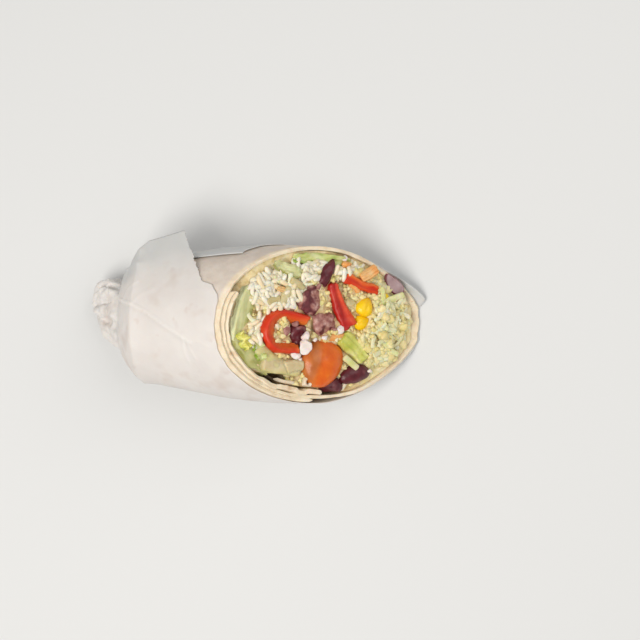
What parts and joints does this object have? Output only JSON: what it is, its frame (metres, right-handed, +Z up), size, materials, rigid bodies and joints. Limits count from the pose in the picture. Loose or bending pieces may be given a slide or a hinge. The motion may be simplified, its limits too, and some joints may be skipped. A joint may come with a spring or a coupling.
{
  "type": "burrito half",
  "caption": "Half of a rice, bean and salad burrito, cut on the slant, lying in its thin white paper wrap.",
  "frame": {"origin": "middle of the flat underside's bounding box, on the surface that the burrito lies on", "axes": "+X along the roll from the gathered paper tail to the slanted cut, +Y towards the loose paper flap, +Z up"},
  "size_m": [0.1678, 0.082, 0.0653],
  "materials": {
    "paper": "thin matt white wrapping paper, a little translucent",
    "flatbread": "soft matt wheat flatbread with faint toasted spots",
    "rice": "moist cooked rice, lightly coloured",
    "red_pepper": "moist shiny red pepper",
    "tomato": "wet translucent tomato",
    "bean": "dark shiny kidney bean skin",
    "bean_flesh": "mealy inside of a kidney bean",
    "corn": "shiny yellow corn kernel",
    "lettuce": "moist pale green leaf",
    "onion": "moist translucent cooked onion",
    "cheese": "soft crumbled white cheese",
    "carrot": "moist orange carrot"
  },
  "bodies": {
    "root": {"paper_wrap": "paper", "tortilla": "flatbread", "filling": "rice", "pepper_curl": "red_pepper", "pepper_strip_long": "red_pepper", "pepper_strip_short": "red_pepper", "tomato_wedge": "tomato", "bean_whole": "bean", "bean_low": "bean", "bean_halved": "bean_flesh", "bean_skin": "bean", "bean_broken_upper": "bean_flesh", "bean_broken_middle": "bean_flesh", "bean_in_curl": "bean", "corn_upper": "corn", "corn_lower": "corn", "corn_side": "corn", "lettuce_rib": "lettuce", "onion_chunk": "onion", "onion_petal": "onion", "onion_shred": "onion", "cheese_crumb_large": "cheese", "cheese_crumb_small": "cheese", "cheese_crumb_low": "cheese", "cheese_shred": "cheese", "carrot_chip": "carrot", "carrot_flake": "carrot", "carrot_sliver": "carrot", "lettuce_left": "lettuce", "lettuce_low": "lettuce", "lettuce_curled": "lettuce", "lettuce_green": "lettuce", "lettuce_top": "lettuce", "lettuce_pale": "lettuce"}
  },
  "joints": []
}
